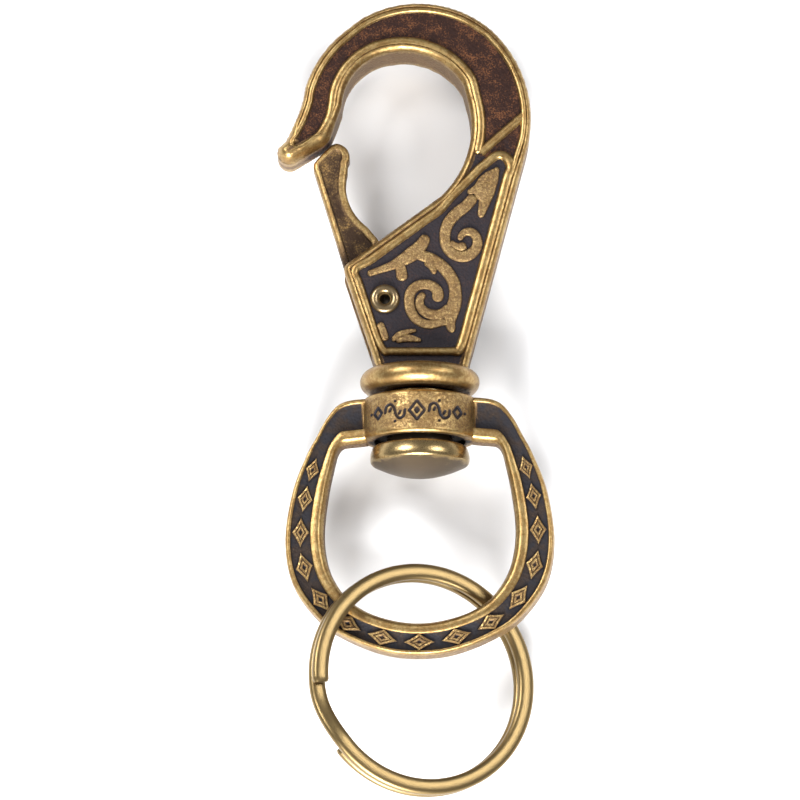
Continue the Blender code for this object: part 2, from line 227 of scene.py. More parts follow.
def antique_brass(name, dark, other_dark, fleck, flecks=0.5, split=None):
    """Dark layer on low ground, brass on high ground, and a speckled edge between them.

    The dark colour drifts between two, by noise or along Y past the split, and flecks of
    a third colour lie in it.
    """
    finish = Finish(name)
    wear = finish.attribute("wear")
    coarse = finish.noise(0.55, 2.0)
    grain = finish.noise(5.5, 4.0, 0.7)
    pits = finish.noise(2.4, 3.0, 0.65)
    ground = wear + (grain - 0.5) * 0.5 + (pits - 0.5) * 0.45
    rubbed = finish.ramp(ground, 0.5, 0.74)
    thin = finish.ramp(ground, 0.2, 0.4)
    drift = finish.ramp(coarse, 0.4, 0.62)
    if split:
        line = finish.along("Y") + (coarse - 0.5) * 6
        drift = finish.ramp(line, split - 1.5, split + 1.5)
    layer = finish.blend(drift, dark, other_dark)
    speckle = finish.ramp(finish.noise(4.6, 5.0, 0.75) + (coarse - 0.5) * 0.5,
                          0.64 - 0.12 * flecks, 0.84 - 0.12 * flecks)
    if split:
        speckle = speckle * (0.15 + 0.85 * drift)
    layer = finish.blend(speckle * 0.8, layer, fleck)
    layer = finish.blend(thin, layer, finish.tint(BRONZE, coarse, 0.7, 1.3))
    warmth = finish.ramp(pits + (coarse - 0.5) * 0.8, 0.38, 0.66)
    metal = finish.tint(finish.blend(warmth, WARM_BRASS, BRASS), grain, 0.72, 1.2)
    finish.set(Base_Color=finish.blend(rubbed, layer, metal), Specular_IOR_Level=0.12,
               Metallic=0.3 + thin * 0.5 + rubbed * 0.2,
               Roughness=0.62 - thin * 0.14 - rubbed * 0.1 + (grain - 0.5) * 0.24)
    finish.bump(finish.cells(2.6) * (1 - rubbed) + grain * 0.35, 0.06)
    return finish.material


PANEL_TO_FIELD = (ZERO[1] / MM) + 31.5
hook_brass = antique_brass("hook_brass", (0.02, 0.017, 0.02), (0.021, 0.01, 0.008),
                           (0.15, 0.06, 0.025), flecks=1.25, split=PANEL_TO_FIELD)
loop_brass = antique_brass("loop_brass", (0.018, 0.017, 0.02), (0.026, 0.019, 0.016),
                           (0.12, 0.07, 0.035), flecks=0.2)
gate_brass = antique_brass("gate_brass", (0.03, 0.017, 0.01), (0.05, 0.03, 0.015),
                           (0.22, 0.13, 0.045), flecks=1.1)
print("brass on high ground:", BRASS, "and", WARM_BRASS)

# %% [markdown]
# ## Smooth brass and steel
# The button, the washer and the split ring are turned or drawn, not cast, so they have no
# pits. They are rubbed bright all over, with a brown tarnish where fingers and neighbours
# don't reach. On the button's domed underside that brown is painted shade. The rivet's head
# has lost its plating at the rim, with painted shade in its bore and at its foot, and the
# spring is bare steel wire.


# %% Smooth brass and steel
def smooth_brass(name, colour, tarnish_and_shade_colour, share, roughness):
    """Bright brass, browned in soft patches and where wear is low; on the button's underside that
    brown is painted shade.
    """
    finish = Finish(name)
    patches = finish.noise(0.35, 4.0, 0.6)
    grain = finish.noise(7.0, 3.0, 0.6)
    # Brown in noise patches and where wear is low; on the button's underside that is painted
    # shade.
    tarnish_and_shade = finish.ramp(patches + 0.2 - finish.attribute("wear") * 0.6 + (grain - 0.5) * 0.25,
                       0.3 - share, 0.52 - share)
    metal = finish.tint(colour, grain, 0.86, 1.14)
    finish.set(Base_Color=finish.blend(tarnish_and_shade * 0.85, metal, tarnish_and_shade_colour), Metallic=1.0,
               Roughness=roughness + tarnish_and_shade * 0.14 + (grain - 0.5) * 0.08)
    finish.bump(grain + finish.noise(1.3) * 0.6, 0.012)
    return finish.material


def bare_steel(name, colour, rust):
    """Grey metal with brown in its low spots, and painted shade, nearly black, where its wear is
    low.
    """
    finish = Finish(name)
    wear = finish.attribute("wear")
    stain = finish.ramp(finish.noise(1.6, 4.0) - wear * 0.45, 0.0, 0.3)
    # Painted shade: points with little wear are darkened to nearly black, on the rivet in its bore
    # and at its foot.
    colour = finish.tint(colour, finish.ramp(wear, 0.05, 0.5), 0.08, 1.0)
    finish.set(Base_Color=finish.blend(stain, colour, rust), Metallic=1.0,
               Roughness=0.3 + stain * 0.25)
    finish.bump(finish.noise(6.0), 0.01)
    return finish.material


ring_brass = smooth_brass("ring_brass", (0.21, 0.148, 0.066), (0.08, 0.05, 0.022), 0.03, 0.36)
# Its brown is a dark grey-brown, which on the button's underside is painted shade.
post_brass = smooth_brass("post_brass", (0.35, 0.25, 0.115), (0.085, 0.064, 0.048), 0.06, 0.28)
rivet_metal = bare_steel("rivet_metal", (0.26, 0.19, 0.105), (0.14, 0.09, 0.035))
spring_steel = bare_steel("spring_steel", (0.36, 0.34, 0.31), (0.12, 0.08, 0.05))

# %% [markdown]
# ## Lines to build on
# Every outline here is a few circles and a few points. One function walks round a circle,
# one passes a smooth line through points, and one spaces the result evenly so that the
# mesh's cells come out alike.


# %% Arcs, smooth lines and eased steps
def arc(circle, start, end, grow=0.0, step=2.5):
    """Points on a circle (x, y, radius), from one angle in degrees to another."""
    x, y, radius = circle
    turn = np.radians(np.linspace(start, end, max(3, int(abs(end - start) / step) + 2)))
    return np.c_[x + (radius + grow) * np.cos(turn), y + (radius + grow) * np.sin(turn)]


def lengths(path):
    """Distance along a path at each of its points."""
    return np.r_[0, np.cumsum(np.linalg.norm(np.diff(path, axis=0), axis=1))]


def nearest(path, spot):
    """Which point of a path is nearest to a spot."""
    return np.argmin(np.linalg.norm(path - spot, axis=1))


def at_lengths(path, at):
    """The points of a path at given distances along it."""
    far = lengths(path)
    return np.stack([np.interp(at, far, column) for column in path.T], axis=1)


def evenly(path, count):
    """The same path at evenly spaced points."""
    return at_lengths(path, np.linspace(0, lengths(path)[-1], count))


def through(points, spacing=0.1, closed=False):
    """A smooth line through points: a cubic from each to the next.

    Each cubic leaves a point along the line between its neighbours, so that the pieces
    join without a kink.
    """
    points = np.asarray(points, float)
    if closed:
        ring = np.concatenate([points[-1:], points, points[:2]])
    else:
        ring = np.concatenate([2 * points[:1] - points[1:2], points,
                               2 * points[-1:] - points[-2:-1]])
    before, start, end, after = ring[:-3], ring[1:-2], ring[2:-1], ring[3:]
    t = np.linspace(0, 1, 30, endpoint=False)[None, :, None]
    leave, arrive = (end - before)[:, None] / 2, (after - start)[:, None] / 2
    start, end = start[:, None], end[:, None]
    curve = ((2 * t**3 - 3 * t**2 + 1) * start + (t**3 - 2 * t**2 + t) * leave
             + (3 * t**2 - 2 * t**3) * end + (t**3 - t**2) * arrive)
    curve = curve.reshape(-1, points.shape[1])
    curve = np.concatenate([curve, curve[:1] if closed else points[-1:]])
    return evenly(curve, max(8, int(lengths(curve)[-1] / spacing)))


def softened(path, reach):
    """An average over neighbours on a closed path, which rounds off tiny kinks."""
    weights = np.hanning(reach + 2)[1:-1]
    weights /= weights.sum()
    half = reach // 2
    padded = np.concatenate([path[-half:], path, path[:half]])
    return np.stack([np.convolve(column, weights, "valid") for column in padded.T], axis=1)


def directions(path, closed=False):
    """Unit tangents of a path."""
    if closed:
        ahead = np.roll(path, -1, axis=0) - np.roll(path, 1, axis=0)
    else:
        ahead = np.gradient(path, axis=0)
    return ahead / np.linalg.norm(ahead, axis=1, keepdims=True)


def leftward(path, closed=False):
    """Unit normals of a flat path, to the left of the way it runs."""
    ahead = directions(path, closed)
    return np.c_[-ahead[:, 1], ahead[:, 0]]


def quarter_round(t):
    """Rises from 0 to 1 as a quarter of a circle does while t goes from 0 to 1."""
    return np.sqrt(np.clip(1 - (1 - np.clip(t, 0, 1)) ** 2, 0, 1))


def rounded(turn, power):
    """A circle's points with both parts raised to a power: 1 is round, below 1 is squarer."""
    parts = np.c_[np.cos(turn), np.sin(turn)]
    return np.sign(parts) * abs(parts) ** power


def smoothstep(value, low, high):
    """Rises from 0 to 1 between two values, with an eased start and end."""
    t = np.clip((value - low) / (high - low), 0, 1)
    return t * t * (3 - 2 * t)


# %% [markdown]
# ## From grids to closed meshes
# A surface worked out on a grid becomes quads by joining each point to its neighbours.
# Where a row shrinks to a point, the doubled points are merged so that the pole is closed.


# %% Grids, bodies and cutters
DOUBLE, WELD = 0.0001 * MM, 0.002 * MM
PINHOLE_SIDES = 12
CAST_SHARP = 50


def quads(rows, columns, round_rows, round_columns):
    """Quads between neighbours on a grid, closed in either direction if asked."""
    row = np.arange(rows if round_rows else rows - 1)[:, None]
    column = np.arange(columns if round_columns else columns - 1)[None, :]
    next_row, next_column = (row + 1) % rows, (column + 1) % columns
    corners = [row * columns + column, row * columns + next_column,
               next_row * columns + next_column, next_row * columns + column]
    return np.stack(corners, axis=-1).reshape(-1, 4)


def tube(sections, wear, ring=False):
    """Closed sections in a row, (rows, columns, 3), as one body with capped ends."""
    rows, columns = sections.shape[:2]
    faces = quads(rows, columns, ring, True).tolist()
    if not ring:
        faces.append(list(range(columns)))
        faces.append(list(range((rows - 1) * columns, rows * columns)))
    return sections.reshape(-1, 3), faces, np.broadcast_to(wear, (rows, columns)).ravel()


def joined(bodies):
    """Several bodies in one list of points, faces and wear."""
    points, faces, wear, base = [], [], [], 0
    for some_points, some_faces, some_wear in bodies:
        points.append(some_points)
        wear.append(some_wear)
        faces += [[base + corner for corner in face] for face in some_faces]
        base += len(some_points)
    return np.concatenate(points), faces, np.concatenate(wear)


def welded(mesh, reach, cut=False):
    """Merge doubled points, then fill a cut mesh's pinholes or turn a new one's faces out."""
    clean = bmesh.new()
    clean.from_mesh(mesh)
    bmesh.ops.remove_doubles(clean, verts=clean.verts, dist=reach)
    bmesh.ops.dissolve_degenerate(clean, edges=clean.edges, dist=reach)
    if cut:
        rims = [edge for edge in clean.edges if edge.is_boundary]
        bmesh.ops.holes_fill(clean, edges=rims, sides=PINHOLE_SIDES)
    else:
        bmesh.ops.recalc_face_normals(clean, faces=clean.faces)
    clean.to_mesh(mesh)
    clean.free()


def mesh_object(name, body, sharp=38):
    """A mesh object from a body in millimetres: doubles merged, faces out, shaded."""
    points, faces, wear = body
    mesh = bpy.data.meshes.new(name)
    mesh.from_pydata(place(points).tolist(), [], faces)
    mesh.attributes.new("wear", "FLOAT", "POINT").data.foreach_set(
        "value", np.asarray(wear, np.float32))
    welded(mesh, DOUBLE)
    mesh.shade_smooth()
    mesh.set_sharp_from_angle(angle=np.radians(sharp))
    made = bpy.data.objects.new(name, mesh)
    bpy.context.scene.collection.objects.link(made)
    return made


def carved(target, steps):
    """Joins and cuts with closed bodies, worked into the mesh."""
    tools = []
    for number, (operation, body) in enumerate(steps):
        tool = mesh_object(f"tool_{number}", body)
        step = target.modifiers.new(tool.name, "BOOLEAN")
        step.operation, step.solver, step.object = operation, "EXACT", tool
        tools.append(tool)
    graph = bpy.context.evaluated_depsgraph_get()
    result = bpy.data.meshes.new_from_object(target.evaluated_get(graph))
    welded(result, WELD, cut=True)
    target.modifiers.clear()
    old, target.data = target.data, result
    result.name = target.name
    bpy.data.meshes.remove(old)
    for tool in tools:
        bpy.data.objects.remove(tool)


def worn(target, rule):
    """Set a carved mesh's sharp edges, and its wear by a rule on its points' places in mm."""
    mesh = target.data
    places = np.empty(len(mesh.vertices) * 3, np.float32)
    mesh.vertices.foreach_get("co", places)
    values = rule((places.reshape(-1, 3) - ZERO) / MM).astype(np.float32)
    layer = mesh.attributes.get("wear") or mesh.attributes.new("wear", "FLOAT", "POINT")
    layer.data.foreach_set("value", values)
    mesh.set_sharp_from_angle(angle=np.radians(CAST_SHARP))


def finished(target, finish, body, stands_for=()):
    """Give a piece its finish and its body, hide the CAD nodes it stands for, and print its size.
    """
    target.data.materials.clear()
    target.data.materials.append(finish)
    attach(target, body)
    if stands_for:
        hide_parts(*stands_for)
    edges = bmesh.new()
    edges.from_mesh(target.data)
    open_edges = sum(not edge.is_manifold for edge in edges.edges)
    edges.free()
    size = np.ptp(np.array([v.co for v in target.data.vertices]), axis=0) / MM
    print(f"{target.name}: {len(target.data.polygons)} faces, {open_edges} open edges,",
          " x ".join(f"{side:.1f}" for side in size), "mm")


def spun(profile, axis, wear=1.0, sides=96, squash=1.0):
    """A profile of (radius, height) points turned about the Y or the Z axis.

    Point (i, j) is profile point i carried round by j turns of a full circle / sides. A
    profile that starts and ends on the axis is closed there, and any other one is a ring.
    """
    radius, height = np.asarray(profile, float).T
    rows = len(radius)
    turn = np.linspace(0, 2 * np.pi, sides, endpoint=False)
    across, other = np.outer(radius, np.sin(turn)), np.outer(radius, np.cos(turn))
    rise = np.repeat(height[:, None], sides, axis=1)
    stack = (across, rise, other * squash) if axis == "Y" else (other, across, rise)
    on_axis = abs(radius[0]) < 1e-9 and abs(radius[-1]) < 1e-9
    wear = np.broadcast_to(np.asarray(wear, float).reshape(-1, 1), (rows, sides))
    return (np.stack(stack, axis=-1).reshape(-1, 3),
            quads(rows, sides, not on_axis, True).tolist(), wear.ravel())


def plug(radius, low, high):
    """The profile of a solid cylinder."""
    return [(0, low), (radius, low), (radius, high), (0, high)]


def prism(outline, low, high):
    """A closed outline given a thickness along Z."""
    flat = np.c_[outline, np.zeros(len(outline))]
    return tube(np.stack([flat + (0, 0, low), flat + (0, 0, high)]), 0.0)


def on_pin(body):
    """A body moved from zero to the gate's pin."""
    return body[0] + np.array((*PIN, 0.0)), body[1], body[2]


# %% [markdown]
# ## The hook's casting
# Seen from the front, the hook is one silhouette: arcs for the crown, the flanks, the
# round nose and the throat, and straight lines for the shield. It could be modelled by
# extruding that silhouette and bevelling it, but the recess has to follow the rim, and
# bevels fail at the tight corners. Instead, the silhouette is split at the nose and at
# the neck into two rails. Straight lines across from rail to rail carry the grid, and
# each point's height is a function of its distance to the silhouette: a rounded edge, a
# crest, then a step down to the recess.

# %% The hook's silhouette
BODY_HALF = 3.7
RECESS = 0.55
FLANK = (-2.15, 36.49, 16.71)
CROWN = (-0.15, 37.78, 14.4)
SHOULDER = (0.02, 36.23, 15.62)
FLARE = (-32.51, 43.27, 17.79)
NOSE = (-17.05, 32.1, 1.6)
NOSE_TIP = (-13.5, 34.8, 2.0)
THROAT_LEFT = (-2.5, 37.98, 7.68)
THROAT_TOP = (-2.19, 36.5, 9.16)
THROAT_SIDE = (-6.6, 35.4, 13.35)
CORNER = (-8.62, 15.91, 1.2)
NECK_LEFT, NECK_RIGHT = (-5.35, 2.2), (5.95, 2.2)
NOSE_POLE = (-18.1, 30.9)
NECK_POLE = (0.3, 2.2)


def rails(outline, first, last, soft=9):
    """A closed outline as two evenly spaced lines from one point on it to another."""
    outline = evenly(np.concatenate([outline, outline[:1]]), 2400)[:-1]
    outline = softened(outline, soft)
    outline = np.roll(outline, -nearest(outline, first), axis=0)
    turn = nearest(outline, last)
    back = np.concatenate([outline[turn:], outline[:1]])[::-1]
    return outline[:turn + 1], back


hook_line = np.concatenate([
    [NECK_LEFT, NECK_RIGHT], arc(FLANK, -15, 45), arc(CROWN, 51, 122), arc(SHOULDER, 128, 164),
    arc(FLARE, -14, -33), arc(NOSE, 155, 305), arc(NOSE_TIP, -53, -12),
    arc(THROAT_LEFT, 178, 118), arc(THROAT_TOP, 108, 30), arc(THROAT_SIDE, 17, -46),
    arc(CORNER, 127, 198)])
throat_rail, back_rail = rails(hook_line, NOSE_POLE, NECK_POLE)
PAIRS = (
    ((-17.9, 33.4), (-14.6, 31.7)), ((-16.6, 35.4), (-12.2, 33.4)),
    ((-15.6, 38.0), (-10.6, 35.9)), ((-14.9, 40.6), (-10.1, 39.0)),
    ((-12.5, 45.2), (-8.3, 43.1)), ((-7.4, 50.2), (-5.1, 45.3)),
    ((-0.2, 52.2), (-1.2, 45.6)), ((7.0, 50.2), (3.2, 43.9)),
    ((12.0, 45.4), (6.0, 40.6)), ((14.5, 38.5), (6.75, 36.6)),
    ((14.4, 34.4), (6.5, 32.5)), ((13.9, 31.0), (5.2, 29.0)),
    ((13.0, 27.5), (2.9, 25.9)), ((11.9, 23.2), (-2.0, 21.8)),
    ((11.0, 19.6), (-6.3, 18.9)), ((10.2, 16.6), (-9.3, 16.9)),
    ((9.4, 13.6), (-9.7, 15.2)), ((8.0, 8.5), (-7.6, 9.4)),
    (NECK_RIGHT, NECK_LEFT))
print("rails of", len(throat_rail), "and", len(back_rail), "points")


# %% Two rails and a height rule
def paired(first, second, pairs, count):
    """Matching stations on two rails: chosen pairs match, and the rest are spread between."""
    marks = []
    for side, rail in enumerate((first, second)):
        far = lengths(rail)
        marks.append(np.r_[0, [far[nearest(rail, pair[side])] for pair in pairs], far[-1]])
    pace = np.r_[0, np.cumsum(np.diff(marks[0]) + np.diff(marks[1]))]
    at = np.linspace(0, pace[-1], count)
    return [at_lengths(rail, np.interp(at, pace, spots))
            for rail, spots in zip((first, second), marks)]


def distance_to(line, points, batch=4000):
    """Distance from points to the nearest point of a dense line."""
    found = [np.sqrt(((points[k:k + batch, None] - line[None]) ** 2).sum(-1).min(1))
             for k in range(0, len(points), batch)]
    return np.concatenate(found)


def casting(first, second, edge_columns, middle_columns, height, rim, waist):
    """A closed body between two rails, the same on its front and its back.

    A point of the front is first + s * (second - first), with s packed close to both
    rails, at the height that its place asks for. The side joins the rims at +-rim.
    """
    span = second - first
    width = np.linalg.norm(span, axis=1)[:, None]
    slopes = []
    for rail in (first, second):
        along = directions(rail)
        lean = abs(np.cross(along, span / np.maximum(width, 1e-9)))[:, None]
        slopes.append(1 / np.clip(lean, 0.35, 1))
    near = np.asarray(edge_columns)[None, :]
    wide = np.maximum(width, 1e-6)
    left = near * np.minimum(slopes[0], 0.42 * wide / near[0, -1]) / wide
    right = 1 - near[:, ::-1] * np.minimum(slopes[1], 0.42 * wide / near[0, -1]) / wide
    step = np.linspace(0, 1, middle_columns + 2)[None, 1:-1]
    middle = left[:, -1:] + (right[:, :1] - left[:, -1:]) * step
    s = np.concatenate([left, middle, right], axis=1)
    flat = first[:, None] + s[..., None] * span[:, None]
    rise = height(flat.reshape(-1, 2)).reshape(s.shape)
    rise[:, 0], rise[:, -1] = rim(first), rim(second)
    front = np.concatenate([flat, rise[..., None]], axis=-1)
    back = front[:, ::-1] * (1, 1, -1)
    sides = []
    for column, way in ((-1, 1), (0, -1)):
        levels = way * rise[:, column, None] * (1 - 2 * np.asarray(waist))[None, :]
        spread = np.repeat(flat[:, column][:, None], len(waist), axis=1)
        sides.append(np.concatenate([spread, levels[..., None]], axis=-1))
    return np.concatenate([front, sides[0], back, sides[1]], axis=1)


OUTER_EDGE, INNER_EDGE, SHIELD_EDGE, NOSE_EDGE = 0.5, 0.75, 0.75, 1.3
EDGE_DROP, NOSE_DROP = 1.05, 2.7
NOSE_AT = (-17.0, 31.7)


def hook_edge(flat):
    """Distance to the silhouette, and how wide and how deep the edge is rounded there.

    It is slim round the crown, broad in the throat and nearly a half circle at the nose.
    """
    to_throat = distance_to(throat_rail[::2], flat)
    to_back = distance_to(back_rail[::2], flat)
    outside = smoothstep(to_throat - to_back, -0.6, 0.6)
    wide = OUTER_EDGE * outside + INNER_EDGE * (1 - outside)
    wide += (SHIELD_EDGE - wide) * smoothstep(32.0 - flat[:, 1], 0.0, 4.0)
    near, far = 1.2 + 2.2 * (1 - outside), 4.5 + 3.5 * (1 - outside)
    nose = 1 - smoothstep(np.linalg.norm(flat - NOSE_AT, axis=1), near, far)
    wide += (NOSE_EDGE - wide) * nose
    return np.minimum(to_throat, to_back), wide, EDGE_DROP + (NOSE_DROP - EDGE_DROP) * nose


def hook_height(flat):
    """Height of the hook's front: rounded edge, narrow crest, step, recess, low neck."""
    away, edge, drop = hook_edge(flat)
    rounding = quarter_round(away / edge)
    sunk = RECESS * smoothstep(np.linalg.norm(flat - NOSE_AT, axis=1), 0.85, 1.15)
    rise = BODY_HALF - drop * (1 - rounding) - sunk * smoothstep(away, edge + 0.03, edge + 0.2)
    return rise - 0.25 * smoothstep(5.0 - flat[:, 1], 0.0, 1.0)


def hook_rim(flat):
    """Height at which the rounded edge meets the upright side."""
    return BODY_HALF - hook_edge(flat)[2]


HOOK_COLUMNS = (0, 0.012, 0.05, 0.12, 0.22, 0.35, 0.5, 0.6, 0.7, 0.84, 0.95, 1.06, 1.17,
                1.35, 1.6, 2.1)
throat_stations, back_stations = paired(throat_rail, back_rail,
                                        [pair[::-1] for pair in PAIRS], 430)
hook_grid = casting(back_stations, throat_stations, HOOK_COLUMNS, 12, hook_height, hook_rim,
                    waist=(0.2, 0.4, 0.6, 0.8))
hook_casting = mesh_object("hook_casting", tube(hook_grid, 1.0), sharp=CAST_SHARP)
print("hook grid", hook_grid.shape)

# %% [markdown]
# ## Collar, slot and holes
# The collar is a round bead turned about the swivel's axis. It is joined to the shield
# with an exact Boolean, and the slot for the gate and the holes for the rivet and the
# post are cut the same way. Wear is then read from each point's place, because the
# Boolean's new points have none.

# %% Collar, slot and holes
COLLAR_RADIUS, COLLAR_TUBE, COLLAR_BOTTOM = 7.75, 1.45, 0.15
SLOT_HALF, HEEL_ROOM = 1.8, 4.4
PIN_RADIUS, POST_RADIUS, ROOM = 1.2, 2.55, 0.1

collar_middle = COLLAR_BOTTOM + COLLAR_TUBE
bulge = arc((COLLAR_RADIUS - COLLAR_TUBE, collar_middle, COLLAR_TUBE), -90, 90, step=7)
collar = spun([(0, COLLAR_BOTTOM), *bulge, (0, collar_middle + COLLAR_TUBE)], "Y", sides=128)
slot = prism(np.concatenate([[(-13, 5.0), (-5.2, 5.0)], arc((*PIN, HEEL_ROOM), 310, 360, step=6),
                             [(-0.1, 27.0), (-13, 27.0)]]), -SLOT_HALF, SLOT_HALF)
pin_hole = on_pin(spun(plug(PIN_RADIUS + ROOM, -6, 6), "Z", sides=40))
post_hole = spun(plug(POST_RADIUS + ROOM, -3, 4.7), "Y", sides=48)
carved(hook_casting, [("UNION", collar), ("DIFFERENCE", slot), ("DIFFERENCE", pin_hole),
                      ("DIFFERENCE", post_hole)])


def hook_wear_and_shade(places):
    """Bright rims and nose, brown sides darkened by painted shade beside the gate, dark recesses,
    slot and neck.
    """
    flat, z = places[:, :2], abs(places[:, 2])
    away, edge, drop = hook_edge(flat)
    rim = 0.74 - 0.39 * smoothstep(away, edge - 0.02, edge + 0.12)
    rim -= 0.35 * smoothstep(away, edge + 0.35, edge + 0.55)
    side = 0.4 + 0.38 * smoothstep(z, BODY_HALF - drop - 0.9, BODY_HALF - drop + 0.1)
    # Painted shade: the side next to the gate's head is darkened.
    painted_shade_by_gate = 1 - smoothstep(np.linalg.norm(flat - (-12.8, 32.4), axis=1), 1.2, 3.2)
    side *= 1 - 0.75 * painted_shade_by_gate * smoothstep(BODY_HALF - z, 1.2, 2.2)
    wear = np.where(z > BODY_HALF - drop + 0.02, rim, side)
    wear = np.where((away > 0.15) & (z < 2.0) & (drop < 1.3), 0.0, wear)
    wear *= smoothstep(places[:, 1], 2.2, 3.6)
    radius = np.hypot(places[:, 0], places[:, 2])
    on_collar = (places[:, 1] < 3.15) & (radius > 5.0)
    ridge = smoothstep(radius, 5.6, 6.9)
    return np.where(on_collar, 0.2 + 0.62 * ridge, wear)


worn(hook_casting, hook_wear_and_shade)
finished(hook_casting, hook_brass, "hook", ("hook_body",))

# %% [markdown]
# ## Beads and scrolls
# A raised bead runs round inside the rims, and scrolls stand in the shield. Each is a
# stroke: a low rounded ridge carried along a line, with a width that may change on the
# way. The ridge's section is a half ellipse with an exponent, so that one function gives
# both round beads and flat-topped scrolls. A stroke's ends are rounded by letting the
# width fall to nothing as a half circle does.


# %% The stroke
SKIRT = 0.15


def stroke(line, width, top, foot, flat=2.0, closed=False, ends=(True, True), shine=0.72):
    """A ridge along a line: across, point v is at width / 2 * cos(v) and up by sin(v).

    Both are raised to 2 / flat, so 2 is an ellipse and more is flatter. Width may be a
    list, spread evenly along the line. The ridge stands on a low skirt above its foot.
    """
    along = lengths(line)
    widths = np.interp(along / along[-1], np.linspace(0, 1, np.size(width)), np.ravel(width))
    half = widths / 2
    shrink = np.ones(len(line))
    if not closed:
        for asked, far in zip(ends, (along, along[-1] - along)):
            if asked:
                shrink *= quarter_round(far / half)
    side, rise = rounded(np.linspace(0, np.pi, 13), 2 / flat).T
    side, rise = np.r_[side, -1.0, 1.0], np.r_[rise, -1, -1]
    reach = (half * shrink)[:, None, None] * side[None, :, None]
    lift = 0.35 + 0.65 * np.sqrt(shrink)
    hill = (top - foot - SKIRT) * np.clip(rise[None], 0, 1) * lift[:, None]
    z = np.where(rise[None] < 0, foot, foot + SKIRT + hill)
    grid = np.concatenate([line[:, None] + reach * leftward(line, closed)[:, None],
                           z[..., None]], axis=-1)
    wear = np.where(rise < 0, 0.0, 0.12 + shine * smoothstep(rise, 0.1, 0.65))
    return tube(grid, np.broadcast_to(wear[None], z.shape), ring=closed)


def both_faces(bodies):
    """The same bodies on the front and, mirrored, on the back."""
    return list(bodies) + [(points * (1, 1, -1), faces, wear) for points, faces, wear in bodies]


# %% [markdown]
# ## The beads
# One bead makes a long U round the hook's field. It starts at the throat, rounds the nose
# and comes back down the outer flank. A second one frames the shield, and a short bar
# closes the field between them.

# %% Beads round the fields
FLOOR = BODY_HALF - RECESS
FOOT = FLOOR - 0.3
BEAD_TOP = FLOOR + 0.5
OUTER_IN, INNER_IN = 0.92, 1.27


def inset(rail, start, end, distance, count):
    """Points along a rail between two places, moved to its left by a distance."""
    inside = rail + leftward(rail) * distance
    picked = np.linspace(nearest(rail, start), nearest(rail, end), count).astype(int)
    return inside[picked]


hook_bead = through(np.concatenate([
    arc(THROAT_SIDE, -15.5, 17, INNER_IN, 12), arc(THROAT_TOP, 30, 108, INNER_IN, 12),
    arc(THROAT_LEFT, 118, 178, INNER_IN, 12),
    [(-11.7, 36.8), (-12.25, 35.5), (-13.15, 34.25), (-14.2, 33.35), (-15.2, 32.65),
     (-15.9, 32.3), (-16.45, 32.4), (-16.72, 32.85), (-16.62, 33.4)],
    arc(FLARE, -28.5, -14, OUTER_IN, 5), arc(SHOULDER, 164, 128, -OUTER_IN, 12),
    arc(CROWN, 122, 51, -OUTER_IN, 12), arc(FLANK, 45, -9, -OUTER_IN, 12),
    [(12.65, 31.2), (12.1, 29.3)]]), spacing=0.22)
shield_bead = through(np.concatenate([
    [(-4.6, 5.12), (-3.4, 5.05), (3.9, 5.05), (5.0, 5.2)],
    inset(back_rail, (6.9, 6.4), (13.2, 28.0), -1.42, 8),
    [(11.95, 29.4), (11.8, 30.3), (11.25, 31.1), (10.5, 31.4), (9.7, 31.15), (8.7, 30.3),
     (7.9, 29.68), (6.59, 28.3), (5.28, 26.97), (3.98, 25.62)],
    inset(throat_rail, (1.8, 25.0), (-7.2, 18.2), 1.42, 7), [(-8.15, 16.3), (-8.5, 15.4)],
    inset(throat_rail, (-9.5, 13.9), (-6.7, 6.5), 1.25, 4)]), spacing=0.22, closed=True)[:-1]
slash_bar = evenly(np.array([(7.9, 31.7), (13.6, 36.8)]), 30)
bead_strokes = [
    stroke(hook_bead, [1.3] * 28 + [0.9] * 44, BEAD_TOP, FOOT, 2.4, ends=(True, False)),
    stroke(shield_bead, [1.1] * 6 + [1.5] * 16 + [1.25] * 18 + [1.1] * 4, BEAD_TOP, FOOT, 2.4,
           closed=True),
    stroke(slash_bar, 1.25, BEAD_TOP - 0.03, FOOT, 2.4, ends=(False, False))]
rim_beads = mesh_object("rim_beads", joined(both_faces(bead_strokes)), sharp=60)
finished(rim_beads, hook_brass, "hook")

# %% [markdown]
# ## The scrollwork
# The shield carries leafy scrolls, an ornament as old as wrought iron: a stem that rolls
# up into a volute, a leaf at its other end, and a second, branching scroll below it.
# Every one is a handful of points with a few widths, joined by the stroke's smooth line.
# Strokes that cross differ a little in height, so that no two tops lie in one plane.

